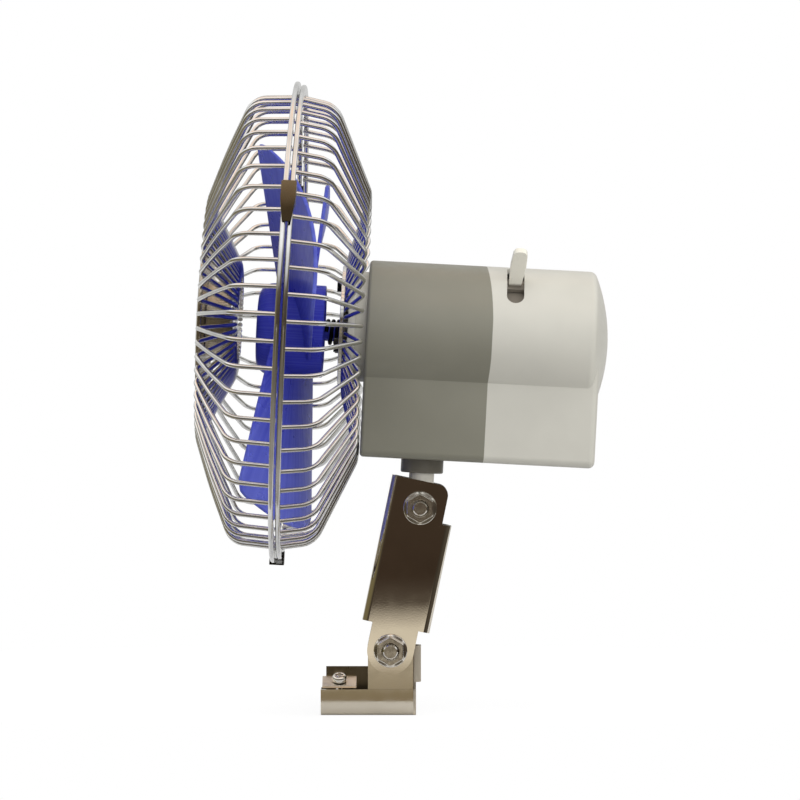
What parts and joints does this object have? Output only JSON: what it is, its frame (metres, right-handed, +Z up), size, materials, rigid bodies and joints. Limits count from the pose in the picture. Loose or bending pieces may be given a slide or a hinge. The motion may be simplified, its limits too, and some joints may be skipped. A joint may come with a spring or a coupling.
{
  "type": "electric fan",
  "caption": "Small oscillating electric fan: wire guard, paddle blades and motor housing on a two-pivot folded steel arm with a channel foot that grips a tongue.",
  "frame": {"origin": "under the middle of the channel foot", "axes": "+Z up, the fan blows towards -Y, the pivots turn about X"},
  "size_m": [0.1924, 0.1643, 0.2528],
  "materials": {
    "plated_steel": "satin",
    "zinc_fastener": "satin",
    "nylon": "satin",
    "dark_collar": "satin",
    "grey_shell": "gloss",
    "white_shell": "gloss",
    "lever_ivory": "gloss",
    "black_rubber": "matte",
    "chrome_wire": "gloss",
    "chrome_badge": "gloss",
    "brown_clip": "satin",
    "black_steel": "satin",
    "blue_blade": "gloss",
    "motor_steel": "satin",
    "inner_black": "matte",
    "inner_white": "matte",
    "magnet": "matte",
    "bronze": "satin"
  },
  "bodies": {
    "base": {"channel_foot": "plated_steel", "screw_plate": "plated_steel"},
    "screw": {"clamp_screw": "zinc_fastener"},
    "arm": {"bracket_arm": "plated_steel", "lower_bolt": "zinc_fastener", "lower_nut": "zinc_fastener", "upper_bolt": "zinc_fastener", "upper_nut": "zinc_fastener"},
    "neck": {"pivot_post": "nylon", "rocker_arm": "motor_steel", "post_clip": "black_steel"},
    "link": {"oscillation_link": "motor_steel"},
    "head": {"neck_collar": "dark_collar", "front_housing": "grey_shell", "rear_housing": "white_shell", "case_screws": "black_steel", "motor_can": "motor_steel", "motor_end_cap": "inner_black", "stator_magnets": "magnet", "front_bush": "bronze", "rear_bush": "bronze", "brushes": "magnet", "gear_frame": "inner_white", "guard_mount": "white_shell", "guard_screws": "black_steel", "rear_ring": "chrome_wire", "front_ring": "chrome_wire", "rear_wires": "chrome_wire", "front_wires": "chrome_wire", "rear_hub_plate": "chrome_wire", "front_hub_plate": "chrome_wire", "front_badge": "chrome_badge", "rim_clips": "brown_clip", "switch_block": "inner_black", "cord_grommet": "black_rubber"},
    "rotor": {"motor_shaft": "motor_steel", "armature": "motor_steel", "commutator": "bronze", "fan_blade": "blue_blade", "hub_spring": "black_steel", "worm": "bronze"},
    "wheel": {"worm_wheel": "inner_white", "crank_shaft": "motor_steel"},
    "lever": {"control_lever": "lever_ivory"}
  },
  "joints": [
    {"name": "arm_tilt", "type": "hinge", "parent": "base", "child": "arm", "pos_m": [0, 0.0088, 0.026], "axis": [1, 0, 0], "range_deg": [-50, 60]},
    {"name": "head_tilt", "type": "hinge", "parent": "arm", "child": "neck", "pos_m": [0, 0.02056, 0.08279], "axis": [1, 0, 0], "range_deg": [-45, 6]},
    {"name": "oscillate", "type": "hinge", "parent": "neck", "child": "head", "pos_m": [0, 0.02056, 0.08279], "axis": [0, 0.0523, 0.9986], "range_deg": [-31, 31]},
    {"name": "blade_spin", "type": "hinge", "parent": "head", "child": "rotor", "pos_m": [0, -0.03179, 0.15383], "axis": [0, -0.9986, 0.0523], "continuous": true},
    {"name": "worm_wheel_spin", "type": "hinge", "parent": "head", "child": "wheel", "pos_m": [-0.01279, 0.05908, 0.14907], "axis": [0, 0.0523, 0.9986], "continuous": true},
    {"name": "link_swing", "type": "hinge", "parent": "neck", "child": "link", "pos_m": [-0.00954, 0.02413, 0.1509], "axis": [0, 0.0523, 0.9986], "range_deg": [-31, 31]},
    {"name": "lever_turn", "type": "hinge", "parent": "head", "child": "lever", "pos_m": [0, -0.03179, 0.15383], "axis": [0, -0.9986, 0.0523], "range_deg": [-14, 14]},
    {"name": "clamp_screw_travel", "type": "slide", "parent": "base", "child": "screw", "axis": [0.4431, 0, 0.8965], "range_m": [-0.0003, 0.003]}
  ],
  "couplings": [
    {"joint": "worm_wheel_spin", "follows": "blade_spin", "ratio": 0.041667},
    {"joint": "link_swing", "follows": "oscillate", "ratio": 1}
  ]
}
